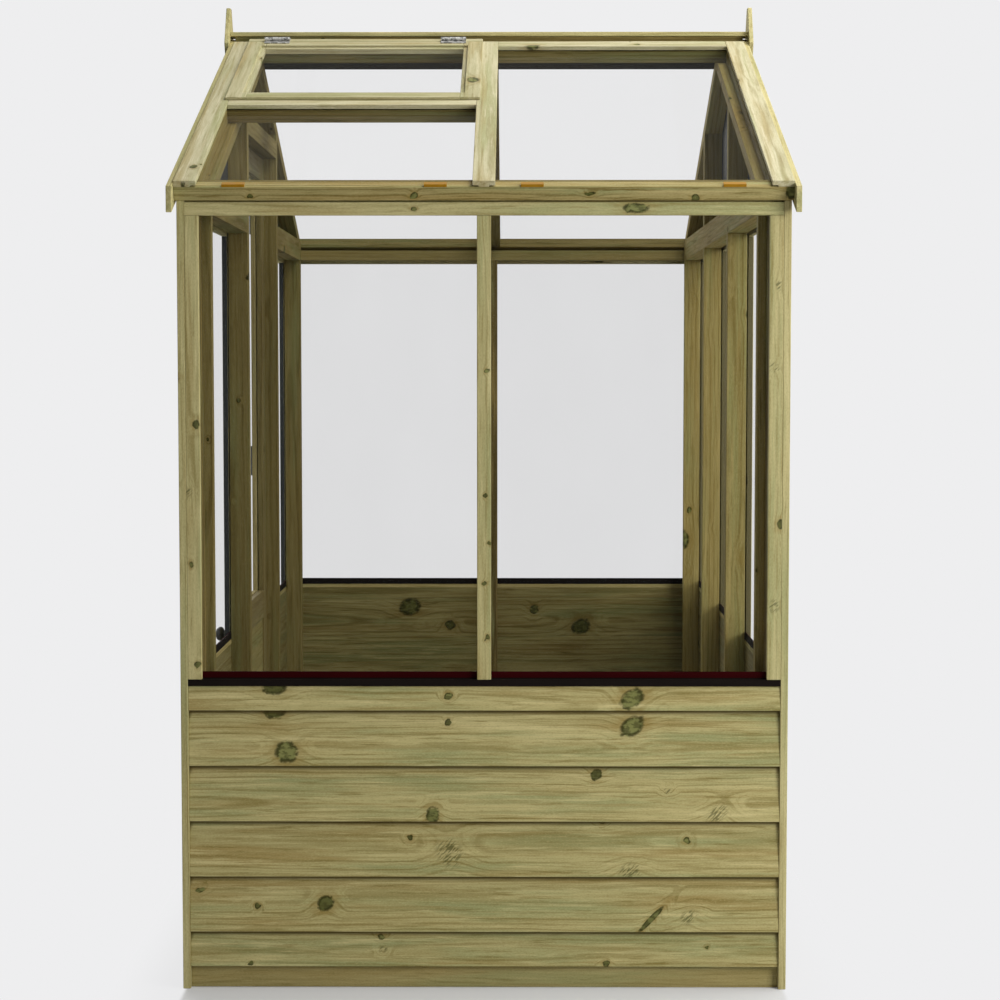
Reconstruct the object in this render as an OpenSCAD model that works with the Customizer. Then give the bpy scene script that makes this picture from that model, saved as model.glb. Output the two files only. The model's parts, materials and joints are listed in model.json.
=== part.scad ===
// Wooden greenhouse with lapped boards below the sill and glass above it.
// A glazed door hangs in the left gable and a vent opens in the front slope.
// Millimetres, +Z up, origin on the ground under the middle of the house.
// X runs along the ridge and Y runs from the front wall to the back wall.

/* [House] */
// Length along the ridge, over the corner strips
house_w = 1220; // [1100:10:1600]
// Depth across the gables, over the glazing covers
house_d = 1960; // [1700:10:2300]
// Height of the top of the wall plates
plate_top = 1594; // [1500:1:1760]
// Pitch of both roof slopes in degrees
roof_pitch = 23.4; // [20:0.1:28]

/* [Timber] */
// Narrow side of the framing timber
timber_t = 28; // [24:1:34]
// Wide side of the framing timber
timber_w = 45; // [40:1:52]
// Width of the wide rails of the door and of the gable ties
rail_w = 58; // [50:1:70]
// Height of the bottom rails
base_h = 45; // [38:1:60]
// Height of the lower edge of the gable ties
tie_z = 1565; // [1500:1:1566]

/* [Glazing] */
// Thickness of the glass
glass_t = 3; // [3:0.5:6]
// Thickness of the covers on the walls
cover_t = 12; // [9:1:16]
// Thickness of the covers on the roof
roof_cover_t = 10; // [8:1:14]
// How far the glass runs onto the timber behind it
glass_lap = 10; // [6:1:12]
// Height of the cover rail along the top of the walls
top_cover_h = 26; // [20:1:34]
// How far the cover rail hangs below the plate or tie behind it
top_cover_drop = 8; // [4:1:14]

/* [Base boards] */
// Height of the top of the boards
sill_h = 618; // [520:1:700]
// Number of boards in the height
board_count = 6; // [5:1:7]
// Height that shows of the lowest board
low_board_show = 72; // [50:1:100]
// Height that shows of the highest board
top_board_show = 50; // [30:1:80]
// How far each board runs up behind the next one
board_lap = 20; // [10:1:24]
// Thickness of a board at its thin upper edge
board_thin = 5; // [4:0.5:7]
// Height of the dark lip above the boards
lip_h = 13; // [8:1:16]
// Thickness of the dark lip
lip_t = 2; // [1.5:0.5:3]
// Height of the upstand under the glass
upstand_h = 15; // [10:1:20]

/* [Roof] */
// How far the eave passes the front face of the covers
eave_over = 2; // [1:1:30]
// How far the roof passes the corner strips at each gable
gable_over = 4; // [3:1:20]
// Thickness of the bargeboards
barge_t = 11.5; // [10:0.5:20]
// Upright height of the bargeboards
barge_h = 52; // [46:1:70]
// How far the top edge of the bargeboards lies below the covers
barge_drop = 4; // [1:1:10]
// How far the bargeboards run on past the eave along the slope
barge_tail = 35; // [10:1:60]
// Thickness of the ridge board
ridge_t = 28; // [24:1:34]
// Upright height of the ridge board above the meeting rafters
ridge_h = 45; // [45:1:70]
// Thickness of the ridge cap
ridge_cap_t = 10.5; // [9:0.5:18]
// Height of the finials above the ridge cap
finial_rise = 59; // [30:1:90]
// Width of the finials at their widest
finial_w = 110; // [90:2:140]
// Height of the top of the bargeboards above the widest place of the finials
finial_wide_drop = 16; // [5:1:30]
// Length of the finials below their widest place
finial_fall = 96; // [70:2:130]
// Thickness of the finials
finial_t = 10; // [8:1:14]

/* [Door] */
// Gap between the door header and the chords over its ends
header_drop = 18; // [4:1:40]
// Gap all round the door
door_gap = 3; // [2:0.5:5]
// Height of the top edge of the middle rail of the door
mid_rail_z = 687; // [640:1:760]
// Height of the middle rail of the door
mid_rail_h = 71; // [50:1:80]
// Number of hinges on the door
door_hinges = 3; // [2:1:3]
// Length of the door hinges
door_hinge_len = 76; // [60:1:90]

/* [Vent] */
// Distance down the slope from the ridge to the rail under the vent
vent_rail_s = 502; // [400:1:640]
// Gap between the vent and the covers round it
vent_gap = 2; // [1.5:0.5:3]
// How far the lips of the vent pass over the covers
vent_lip = 10; // [6:1:14]
// Height of the top of the vent above the covers
vent_rise = 7; // [7:0.5:12]
// Length of the vent hinges
vent_hinge_len = 60; // [50:1:70]
// Distance of the hinges from the sides of the vent
vent_hinge_in = 30; // [20:1:60]

/* [Fittings] */
// How far the glass stops reach over the glass
stop_hook = 6; // [4:1:10]
// Length of the glass stops along the eave
stop_len = 45; // [30:1:60]
// Distance of the glass stops from the middle of their pane
stop_offset = 200; // [120:1:210]
// Radius of the hinge pins
pin_r = 2.5; // [2:0.1:3]
// Diameter of the door knob
knob_d = 33; // [26:1:38]
// How far the door knob stands off the door
knob_out = 28; // [22:1:29]
// Length of the turn button on the jamb
button_len = 62; // [50:1:72]

/* [Hidden] */
$fn = 48;
fit = 0.2;
run_fit = 0.05;
turn_gap = 0.4;
pane_gap = 2;
seat_gap = 1;
lift = 0.5;

// Planes of the walls, counted from the middle of the house
half_w = house_w / 2;
half_d = house_d / 2;
strip_t = cover_t + glass_t;
wall_out = half_d - strip_t;
wall_in = wall_out - timber_w;
gable_out = half_w - strip_t;
gable_in = gable_out - timber_w;

// Heights of the walls
plate_z = plate_top - timber_t;
lip_top = sill_h + lip_h;
glass_z = lip_top + upstand_h;
cover_top = plate_z + top_cover_h - top_cover_drop;
cover_foot = upstand_h + fit;
tie_top = tie_z + rail_w;

// Posts and bays of the gables
corner_y = wall_in - timber_t;
post_mid = (wall_in - timber_t / 2) / 3;
post_y0 = post_mid - timber_t / 2;
post_y1 = post_mid + timber_t / 2;
strip_y = wall_in - timber_t / 2;

// Base boards
board_step = (sill_h - top_board_show - low_board_show - base_h) / (board_count - 2);
board_slope = (strip_t - board_thin) / (board_step + board_lap);
board_back = board_thin + board_lap * board_slope + fit;

// Lines of the roof
tan_p = tan(roof_pitch);
cos_p = cos(roof_pitch);
roof_z = plate_top + wall_out * tan_p;
chord_drop = timber_t / cos_p;
slope_len = (half_d + eave_over) / cos_p;
ridge_s = (ridge_t / 2 + fit) / cos_p;
half_roof = half_w + gable_over;
rafter_x = half_roof - timber_w;
cover_z = timber_t + glass_t;
roof_cover_z = cover_z + roof_cover_t;
barge_x = half_roof + barge_t;
barge_y = (slope_len + barge_tail) * cos_p;
barge_z = roof_z + (roof_cover_z - barge_drop) / cos_p;
ridge_top = roof_z + ridge_h;
cap_top = ridge_top + ridge_cap_t;

// Panes of the roof, measured down the slope from the ridge
stop_back = 8;
stop_t = 2.5;
bay_x0 = timber_w / 2 - glass_lap;
bay_x1 = rafter_x + glass_lap;
ridge_pane_s = ridge_s + timber_w - glass_lap;
vent_pane_s = vent_rail_s + timber_w - glass_lap;

// Door
header_z = roof_z - post_y0 * tan_p - chord_drop - header_drop - timber_w;
door_y = post_y0 - door_gap;
door_z0 = base_h + door_gap;
door_z1 = header_z - door_gap;
door_x = half_w - timber_t;
stile_w = rail_w;
door_groove = 9;
door_foot_h = 70;
panel_in = 4;
panel_z0 = door_z0 + door_foot_h;
panel_z1 = mid_rail_z - mid_rail_h;
panel_x = door_x + panel_in;
panel_thick = 18;

// Hinges: the pin stands off the faces that the leaves lie on
leaf_t = 2;
knuckle_r = pin_r + 2.5;
pin_off = knuckle_r + 0.3;
leaf_root = knuckle_r + 1;
pin_y = post_y0 - door_gap / 2;
door_leaf_w = 26;
hinge_drop = 190;
mid_hinge_rise = 60;
hinge_rise = 140;
door_hinge_z = [door_z1 - hinge_drop, (door_z0 + door_z1) / 2 + mid_hinge_rise, door_z0 + hinge_rise];

// Vent, measured down the slope from the ridge
vent_x0 = -rafter_x + vent_gap;
vent_x1 = -timber_w / 2 - vent_gap;
strip_gap = 2;
strip_w = 22;
strip_s0 = ridge_s + strip_gap;
strip_s1 = strip_s0 + strip_w;
vent_pin_s = strip_s1 + vent_gap / 2;
vent_s0 = strip_s1 + vent_gap;
vent_s1 = vent_rail_s - vent_gap;
vent_z0 = timber_t + seat_gap;
vent_top = roof_cover_z + vent_rise;
vent_glass_drop = 6;
vent_glass_z = vent_top - vent_glass_drop;
sash_w = timber_w - vent_lip;
vent_leaf_w = 20;
vent_hinge_x = [vent_x0 + vent_hinge_in, vent_x1 - vent_hinge_in - vent_hinge_len];

// Knob on the door and turn button on the jamb
knob_y = stile_w / 2 - door_y;
knob_rise = 16;
knob_z = sill_h + knob_rise;
rose_t = 3;
button_y = -(post_y0 + post_mid) / 2;
button_drop = 58;
button_z = sill_h - button_drop;
button_w = 16;
button_t = 6;
button_pin_r = 2.5;
button_shank = 12;

wood = [0.62, 0.59, 0.38];
wood_light = [0.74, 0.71, 0.52];
wood_dark = [0.45, 0.42, 0.26];
glass = [0.80, 0.88, 0.88, 0.3];
black = [0.10, 0.09, 0.08];
charcoal = [0.17, 0.17, 0.15];
zinc = [0.62, 0.63, 0.64];
orange = [0.72, 0.48, 0.08];

// A block between two opposite corners
module block(low, high) {
  translate(low)
    cube(high - low);
}

// A drawing in Y and Z, made solid from x0 to x1
module slab_x(x0, x1) {
  translate([x0, 0, 0])
    rotate([90, 0, 90])
      linear_extrude(x1 - x0)
        children();
}

// The same thing on the front and on the back
module front_and_back() {
  children();
  mirror([0, 1, 0])
    children();
}

// Height of what bears the roof, just under it, at a distance from the ridge line
function roof_under(y) = roof_z - fit - abs(y) * tan_p;

// Everything under the roof, less a drop, drawn in Y and Z
module under_roof(drop) {
  reach = half_d;
  polygon([[-reach, 0], [reach, 0], [reach, roof_under(reach) - drop],
    [0, roof_under(0) - drop], [-reach, roof_under(reach) - drop]]);
}

// Lower edge of one base board
function lap_z(i) = i == 0 ? base_h : base_h + low_board_show + (i - 1) * board_step;

// How far the face of a board stands out, by the distance below its thin edge
function board_face(below) = board_thin + below * board_slope;

// One lapped board drawn as depth and height, cut off level at a limit
module board_profile(z0, z_thin, z_cut, lapped) {
  face0 = -board_face(z_thin - z0);
  face1 = -board_face(z_thin - z_cut);
  back = lapped ? -board_back : 0;
  step_z = lapped ? z0 + board_lap + fit : z0 + 1;
  polygon([[back, z0], [face0, z0], [face1, z_cut], [0, z_cut], [0, step_z], [back, step_z]]);
}

// The boards below the sill, facing -Y, from x0 to x1
module base_boards(x0, x1) {
  last = board_count - 1;
  for (i = [0:last]) {
    z_thin = i == last ? lap_z(i) + board_step + board_lap : lap_z(i + 1) + board_lap;
    slab_x(x0, x1)
      board_profile(lap_z(i), z_thin, min(z_thin, sill_h), i > 0);
  }
}

// The dark sheet that is bent over the sill rail and up behind the glass
module flashing(x0, x1) {
  lip_y = lip_t - strip_t;
  lip_z = lip_top - lip_t;
  slab_x(x0, x1)
    polygon([[-strip_t, sill_h], [lip_y, sill_h], [lip_y, lip_z], [0, lip_z],
      [0, glass_z], [-glass_t, glass_z], [-glass_t, lip_top], [-strip_t, lip_top]]);
}

// The slim rail on top of the boards, inside the dark sheet
module sill_rail(x0, x1) {
  block([x0, lip_t - strip_t, sill_h], [x1, 0, lip_top - lip_t]);
}

// A cover strip with a rebate for the glass on one side or on both. The foot is
// how far its thicker middle stops short of its lower end.
module glazing_cover(x0, x1, y0, y1, t, lap0, lap1, foot = 0) {
  block([x0, y0, glass_t], [x1, y1, glass_t + t]);
  block([x0 + lap0, y0 + foot, 0], [x1 - lap1, y1, glass_t]);
}

// Turns a piece laid flat on its back so that it stands on the wall, facing -Y
module stand_up(out) {
  translate([0, -out, 0])
    rotate([90, 0, 0])
      children();
}

// Turns a piece drawn on the front wall round to the gable at +X
module to_end() {
  rotate([0, 0, 90])
    children();
}

// Turns a piece drawn on the front wall round to the gable at -X
module to_door_end() {
  rotate([0, 0, -90])
    children();
}

// The front and back walls, drawn at the front

module wall_bottom_rail() {
  block([-gable_out, -wall_out, 0], [gable_out, -wall_in, base_h]);
}

module wall_posts() {
  end_x = gable_out - timber_t / 2;
  for (x = [-end_x, 0, end_x])
    block([x - timber_t / 2, -wall_out, base_h], [x + timber_t / 2, -wall_in, plate_z]);
}

module wall_sill_rail() {
  translate([0, -wall_out, 0])
    sill_rail(-gable_out, gable_out);
}

module wall_top_plate() {
  block([-gable_out, -wall_out, plate_z], [gable_out, -wall_in, plate_top]);
}

module wall_cladding() {
  translate([0, -wall_out, 0])
    base_boards(-gable_out, gable_out);
}

module wall_flashing() {
  translate([0, -wall_out, 0])
    flashing(-gable_out, gable_out);
}

module wall_covers() {
  lap = glass_lap + pane_gap;
  cover_z1 = cover_top - top_cover_h;
  half_t = timber_t / 2;
  post_z1 = cover_z1 - fit;
  stand_up(wall_out) {
    glazing_cover(-half_t, half_t, lip_top, post_z1, cover_t, lap, lap, cover_foot);
    for (side = [0, 1])
      mirror([side, 0, 0])
        glazing_cover(gable_out - timber_t, gable_out, lip_top, post_z1, cover_t, lap, 0, cover_foot);
    block([-gable_out, cover_z1, glass_t], [gable_out, cover_top, strip_t]);
  }
}

module wall_panes() {
  for (side = [0, 1])
    mirror([side, 0, 0])
      block([timber_t / 2 - glass_lap, -wall_out - glass_t, glass_z],
        [gable_out - timber_t + glass_lap, -wall_out, plate_z + glass_lap]);
}

module front_bottom_rail() {
  color(wood_dark)
    wall_bottom_rail();
}

module front_posts() {
  color(wood)
    wall_posts();
}

module front_sill_rail() {
  color(wood_dark)
    wall_sill_rail();
}

module front_top_plate() {
  color(wood)
    wall_top_plate();
}

module front_cladding() {
  color(wood)
    wall_cladding();
}

module front_flashing() {
  color(black)
    wall_flashing();
}

module front_covers() {
  color(wood_light)
    wall_covers();
}

module front_panes() {
  color(glass)
    wall_panes();
}

module back_bottom_rail() {
  color(wood_dark)
    mirror([0, 1, 0])
      wall_bottom_rail();
}

module back_posts() {
  color(wood)
    mirror([0, 1, 0])
      wall_posts();
}

module back_sill_rail() {
  color(wood_dark)
    mirror([0, 1, 0])
      wall_sill_rail();
}

module back_top_plate() {
  color(wood)
    mirror([0, 1, 0])
      wall_top_plate();
}

module back_cladding() {
  color(wood)
    mirror([0, 1, 0])
      wall_cladding();
}

module back_flashing() {
  color(black)
    mirror([0, 1, 0])
      wall_flashing();
}

module back_covers() {
  color(wood_light)
    mirror([0, 1, 0])
      wall_covers();
}

module back_panes() {
  color(glass)
    mirror([0, 1, 0])
      wall_panes();
}

// Pieces that both gables share, drawn at the +X gable in place

module gable_corner_posts() {
  front_and_back()
    block([gable_in, corner_y, base_h], [gable_out, wall_in, tie_z]);
}

module gable_bottom_rail() {
  block([gable_in, -wall_in, 0], [gable_out, wall_in, base_h]);
}

// The tie over the corner posts, cut to the slope of the chords
module gable_tie(y0, y1) {
  slab_x(gable_in, gable_out)
    intersection() {
      translate([y0, tie_z])
        square([y1 - y0, rail_w]);
      under_roof(chord_drop + fit);
    }
}

// The sloping chords that meet under the ridge with plumb cuts
module gable_chords() {
  front_and_back()
    slab_x(gable_in, gable_out)
      polygon([[-wall_in, roof_under(wall_in) - chord_drop], [-wall_in, roof_under(wall_in)],
        [-fit / 2, roof_under(fit / 2)], [-fit / 2, roof_under(fit / 2) - chord_drop]]);
}

// An inner post or stud from a height up to the underside of the chord
module post_to_chord(z0) {
  front_and_back()
    slab_x(gable_in, gable_out)
      intersection() {
        translate([post_y0, z0])
          square([timber_t, roof_z]);
        under_roof(chord_drop + fit);
      }
}

// The gable between its corner strips, from a height up to the roof
module gable_triangle(z0) {
  wide = strip_y - fit;
  intersection() {
    under_roof(0);
    translate([-wide, z0])
      square([2 * wide, roof_z]);
  }
}

// Lapped boards over the triangle above the glass, up to the roof
module apex_boards() {
  z0 = cover_top;
  step = board_step;
  count = ceil((roof_z - z0) / step);
  intersection() {
    slab_x(gable_out + glass_t, half_w)
      gable_triangle(z0 + fit);
    to_end()
      translate([0, -gable_out - glass_t, 0])
        for (i = [0:count - 1]) {
          low = z0 + i * step;
          high = low + step;
          slab_x(-strip_y, strip_y)
            polygon([[0, low + fit], [-cover_t, low + fit], [-cover_t / 2, high], [0, high]]);
        }
  }
}

// The liner behind the apex boards
module gable_liner() {
  slab_x(gable_out, gable_out + glass_t)
    gable_triangle(tie_z + glass_lap + pane_gap);
}

// The part of the gable that the doorway takes, up to the header
module doorway_cut() {
  block([gable_in - 1, -post_mid, 0], [half_w + 1, post_mid, header_z + glass_lap]);
}

module gable_top_cover(y0, y1) {
  block([gable_out + glass_t, y0, cover_top - top_cover_h], [half_w, y1, cover_top]);
}

// The narrow bead that holds the glass beside the corner strip
module gable_corner_beads() {
  lap = glass_lap + pane_gap;
  cover_z1 = cover_top - top_cover_h - fit;
  front_and_back()
    block([gable_out + glass_t, corner_y, lip_top], [half_w, strip_y, cover_z1]);
  front_and_back()
    block([gable_out, corner_y + lap, glass_z + fit], [gable_out + glass_t, strip_y, cover_z1]);
}

// The gable without a door, at +X

module end_gable_posts() {
  color(wood) {
    gable_corner_posts();
    front_and_back()
      block([gable_in, post_y0, base_h], [gable_out, post_y1, tie_z]);
    post_to_chord(tie_top);
  }
}

module end_gable_rails() {
  color(wood_dark) {
    gable_bottom_rail();
    to_end()
      translate([0, -gable_out, 0])
        sill_rail(-strip_y, strip_y);
    gable_tie(-wall_in, wall_in);
  }
}

module end_gable_chords() {
  color(wood)
    gable_chords();
}

module end_gable_cladding() {
  color(wood)
    to_end()
      translate([0, -gable_out, 0])
        base_boards(-strip_y, strip_y);
}

module end_gable_covers() {
  lap = glass_lap + pane_gap;
  color(wood_light) {
    gable_corner_beads();
    gable_top_cover(-strip_y, strip_y);
    to_end()
      stand_up(gable_out)
        for (y = [-post_mid, post_mid])
          glazing_cover(y - timber_t / 2, y + timber_t / 2, lip_top,
            cover_top - top_cover_h - fit, cover_t, lap, lap, cover_foot);
  }
}

module gable_side_panes() {
  front_and_back()
    block([gable_out, post_y1 - glass_lap, glass_z],
      [gable_out + glass_t, corner_y + glass_lap, tie_z + glass_lap]);
}

module end_gable_panes() {
  mid_y = post_y0 + glass_lap;
  color(glass) {
    gable_side_panes();
    block([gable_out, -mid_y, glass_z], [gable_out + glass_t, mid_y, tie_z + glass_lap]);
  }
}

module end_gable_infill() {
  color(charcoal)
    gable_liner();
}

module end_gable_apex_boards() {
  color(wood)
    apex_boards();
}

// The gable with the doorway, at -X

module to_left() {
  mirror([1, 0, 0])
    children();
}

module door_gable_posts() {
  color(wood)
    to_left() {
      gable_corner_posts();
      post_to_chord(base_h);
    }
}

module door_gable_rails() {
  color(wood_dark) {
    to_left() {
      gable_bottom_rail();
      gable_tie(-wall_in, -post_y1);
      gable_tie(post_y1, wall_in);
    }
    to_door_end()
      translate([0, -gable_out, 0]) {
        sill_rail(-strip_y, -post_mid);
        sill_rail(post_mid, strip_y);
      }
  }
}

module door_header() {
  color(wood)
    to_left()
      block([gable_in, -post_y0, header_z], [gable_out, post_y0, header_z + timber_w]);
}

module door_gable_chords() {
  color(wood)
    to_left()
      gable_chords();
}

module door_gable_cladding() {
  color(wood)
    to_door_end()
      translate([0, -gable_out, 0]) {
        base_boards(-strip_y, -post_mid);
        base_boards(post_mid, strip_y);
      }
}

module gable_flashings() {
  color(black) {
    to_end()
      translate([0, -gable_out, 0])
        flashing(-strip_y, strip_y);
    to_door_end()
      translate([0, -gable_out, 0]) {
        flashing(-strip_y, -post_mid);
        flashing(post_mid, strip_y);
      }
  }
}

// The jamb strips run the whole height beside the doorway. Above the sill they
// widen to cover the edge of the glass.
module door_gable_covers() {
  lap = glass_lap + pane_gap;
  cover_z1 = cover_top - top_cover_h;
  color(wood_light) {
    to_left() {
      gable_corner_beads();
      gable_top_cover(-strip_y, -post_y1 - fit);
      gable_top_cover(post_y1 + fit, strip_y);
    }
    difference() {
      to_left()
        front_and_back() {
          block([gable_out, post_y0, base_h], [half_w, post_mid, header_z + glass_lap - fit]);
          block([gable_out + glass_t, post_mid, lip_top], [half_w, post_y1, cover_top]);
          block([gable_out, post_mid, glass_z + fit], [gable_out + glass_t, post_y1 - lap, cover_z1]);
        }
      translate([-half_w - 1, button_y, button_z])
        rotate([0, 90, 0])
          cylinder(h = button_shank + 2, r = button_pin_r + turn_gap);
    }
  }
}

module door_gable_panes() {
  color(glass)
    to_left()
      gable_side_panes();
}

module door_gable_infill() {
  color(charcoal)
    to_left()
      difference() {
        gable_liner();
        doorway_cut();
      }
}

module door_gable_apex_boards() {
  color(wood)
    to_left()
      difference() {
        apex_boards();
        doorway_cut();
        front_and_back()
          block([gable_out, post_y0, 0], [half_w + 1, post_y1 + fit, cover_top + fit]);
      }
}

// Strips that close the four corners
module corner_strips() {
  color(wood_light)
    for (side = [0, 1])
      mirror([side, 0, 0])
        front_and_back()
          slab_x(gable_out, half_w)
            intersection() {
              translate([strip_y, 0])
                square([half_d - strip_y, roof_z]);
              under_roof(0);
            }
}

// The roof, drawn on the front slope. Y runs down the slope as minus the
// distance from the ridge, and Z stands square to the slope.

module on_slope() {
  translate([0, 0, roof_z])
    rotate([roof_pitch, 0, 0])
      children();
}

// A block on the slope between two distances from the ridge
module slope_block(x0, x1, s0, s1, z0, z1) {
  block([x0, -s1, z0], [x1, -s0, z1]);
}

module slope_rails() {
  slope_block(-half_roof, half_roof, slope_len - timber_w, slope_len, 0, timber_t);
  slope_block(-rafter_x, rafter_x, ridge_s, ridge_s + timber_w, 0, timber_t);
}

module slope_rafters() {
  half_wide = timber_w / 2;
  for (side = [0, 1])
    mirror([side, 0, 0])
      slope_block(rafter_x, half_roof, ridge_s, slope_len - timber_w, 0, timber_t);
  slope_block(-half_wide, half_wide, ridge_s + timber_w, slope_len - timber_w, 0, timber_t);
}

module slope_covers() {
  lap = glass_lap + pane_gap;
  half_wide = timber_w / 2;
  translate([0, 0, timber_t]) {
    for (side = [0, 1])
      mirror([side, 0, 0])
        glazing_cover(rafter_x, half_roof, -slope_len, -ridge_s, roof_cover_t, lap, 0);
    glazing_cover(-half_wide, half_wide, -slope_len, -ridge_s, roof_cover_t, lap, lap);
  }
}

module slope_ridge_cover(side0, side1) {
  x0 = side0 + fit;
  x1 = side1 - fit;
  slope_block(x0, x1, ridge_s, ridge_s + timber_w, cover_z, roof_cover_z);
  slope_block(x0, x1, ridge_s, ridge_s + timber_w - glass_lap - pane_gap, timber_t, cover_z);
}

module slope_pane(x0, x1, s0) {
  slope_block(x0, x1, s0, slope_len - stop_back, timber_t, cover_z);
}

module front_roof_rails() {
  color(wood_dark)
    on_slope() {
      slope_rails();
      slope_block(-rafter_x, -timber_w / 2, vent_rail_s, vent_rail_s + timber_w, 0, timber_t);
    }
}

module front_roof_rafters() {
  color(wood_dark)
    on_slope()
      slope_rafters();
}

module front_roof_covers() {
  lap = glass_lap + pane_gap;
  s1 = vent_rail_s + timber_w;
  x0 = fit - rafter_x;
  x1 = -timber_w / 2 - fit;
  color(wood_light)
    on_slope() {
      slope_covers();
      slope_ridge_cover(timber_w / 2, rafter_x);
      slope_block(x0, x1, vent_rail_s, s1, cover_z, roof_cover_z);
      slope_block(x0, x1, vent_rail_s, s1 - lap, timber_t, cover_z);
    }
}

module front_roof_panes() {
  color(glass)
    on_slope() {
      slope_pane(bay_x0, bay_x1, ridge_pane_s);
      slope_pane(-bay_x1, -bay_x0, vent_pane_s);
    }
}

module back_roof_rails() {
  color(wood_dark)
    mirror([0, 1, 0])
      on_slope()
        slope_rails();
}

module back_roof_rafters() {
  color(wood_dark)
    mirror([0, 1, 0])
      on_slope()
        slope_rafters();
}

module back_roof_covers() {
  color(wood_light)
    mirror([0, 1, 0])
      on_slope() {
        slope_covers();
        slope_ridge_cover(timber_w / 2, rafter_x);
        slope_ridge_cover(-rafter_x, -timber_w / 2);
      }
}

module back_roof_panes() {
  color(glass)
    mirror([0, 1, 0])
      on_slope()
        for (side = [0, 1])
          mirror([side, 0, 0])
            slope_pane(bay_x0, bay_x1, ridge_pane_s);
}

// A small hooked stop that keeps a roof pane from sliding down
module glass_stop() {
  half_len = stop_len / 2;
  base_s = slope_len - stop_back;
  top_z = cover_z + stop_t;
  slope_block(-half_len, half_len, base_s, slope_len, timber_t, cover_z);
  slope_block(-half_len, half_len, base_s - stop_hook, slope_len, cover_z, top_z);
}

module glass_stops() {
  bay_mid = (timber_w / 2 + rafter_x) / 2;
  color(orange)
    front_and_back()
      on_slope()
        for (bay = [-bay_mid, bay_mid], side = [-stop_offset, stop_offset])
          translate([bay + side, 0, 0])
            glass_stop();
}

module ridge_board() {
  color(wood_dark)
    block([-half_roof, -ridge_t / 2, roof_z], [half_roof, ridge_t / 2, ridge_top]);
}

module ridge_cap() {
  color(wood)
    block([-barge_x, -timber_w / 2, ridge_top], [barge_x, timber_w / 2, cap_top]);
}

// Bargeboards with plumb cuts at the ridge and at the tails
module bargeboards() {
  tail_z = barge_z - barge_y * tan_p;
  color(wood_light)
    for (side = [0, 1])
      mirror([side, 0, 0])
        front_and_back()
          slab_x(half_roof, barge_x)
            polygon([[-barge_y, tail_z - barge_h], [-barge_y, tail_z],
              [-fit / 2, barge_z], [-fit / 2, barge_z - barge_h]]);
}

// Kite-shaped boards over the joint of the bargeboards
module finials() {
  tip_w = finial_w / 5;
  wide_z = barge_z - finial_wide_drop;
  top_z = cap_top + finial_rise;
  color(wood)
    for (side = [0, 1])
      mirror([side, 0, 0])
        slab_x(barge_x, barge_x + finial_t)
          polygon([[-tip_w / 2, top_z], [-finial_w / 2, wide_z], [-tip_w / 2, wide_z - finial_fall],
            [tip_w / 2, wide_z - finial_fall], [finial_w / 2, wide_z], [tip_w / 2, top_z]]);
}

// A butt hinge, drawn with its pin along Z. The leaves lie at +X from the pin,
// the fixed one toward +Y and the moving one toward -Y.

module knuckle(z0, z1, bore) {
  translate([0, 0, z0])
    difference() {
      cylinder(h = z1 - z0, r = knuckle_r);
      translate([0, 0, -1])
        cylinder(h = z1 - z0 + 2, r = bore);
    }
}

// The curl that joins a knuckle to its leaf
module knuckle_root(z0, z1, dir) {
  y0 = dir > 0 ? 0 : -leaf_root;
  difference() {
    block([pin_off - leaf_t, y0, z0], [pin_off, y0 + leaf_root, z1]);
    translate([0, 0, z0 - 1])
      cylinder(h = z1 - z0 + 2, r = knuckle_r - 1);
  }
}

module hinge_fixed(len, leaf_w) {
  third = len / 3;
  block([pin_off - leaf_t, leaf_root, 0], [pin_off, leaf_w, len]);
  for (z = [0, 2 * third]) {
    knuckle(z, z + third, pin_r - fit);
    knuckle_root(z, z + third, 1);
  }
  cylinder(h = len, r = pin_r);
}

module hinge_moving(len, leaf_w) {
  third = len / 3;
  block([pin_off - leaf_t, -leaf_w, 0], [pin_off, -leaf_root, len]);
  knuckle(third + turn_gap, 2 * third - turn_gap, pin_r + run_fit);
  knuckle_root(third + turn_gap, 2 * third - turn_gap, -1);
}

// The vent in the front slope

module vent_hinge_strip() {
  color(wood_light)
    on_slope() {
      slope_block(-rafter_x, -timber_w / 2, strip_s0, strip_s1, timber_t, vent_top);
      slope_block(-rafter_x - vent_lip + vent_gap, vent_lip - vent_gap - timber_w / 2,
        strip_s0, strip_s1, roof_cover_z, vent_top);
    }
}

module vent_sash() {
  in_x0 = vent_x0 + sash_w;
  in_x1 = vent_x1 - sash_w;
  in_s0 = vent_s0 + timber_w;
  in_s1 = vent_s1 - sash_w;
  lip = vent_lip;
  lip_z = roof_cover_z + lift;
  color(wood_light)
    on_slope()
      difference() {
        union() {
          slope_block(vent_x0, in_x0, vent_s0, vent_s1, vent_z0, vent_top);
          slope_block(vent_x0 - lip, in_x0, vent_s0, vent_s1 + lip + vent_gap, lip_z, vent_top);
          slope_block(in_x1, vent_x1, vent_s0, vent_s1, vent_z0, vent_top);
          slope_block(in_x1, vent_x1 + lip, vent_s0, vent_s1 + lip + vent_gap, lip_z, vent_top);
          slope_block(in_x0 + fit, in_x1 - fit, vent_s0, in_s0, vent_z0, vent_top);
          slope_block(in_x0 + fit, in_x1 - fit, in_s1, vent_s1, vent_z0, vent_top);
          slope_block(in_x0 + fit, in_x1 - fit, in_s1, vent_s1 + lip + vent_gap, lip_z, vent_top);
        }
        slope_block(in_x0 - glass_lap, in_x1 + glass_lap, in_s0 - glass_lap,
          in_s1 + glass_lap, vent_glass_z, vent_top + 1);
      }
}

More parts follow.
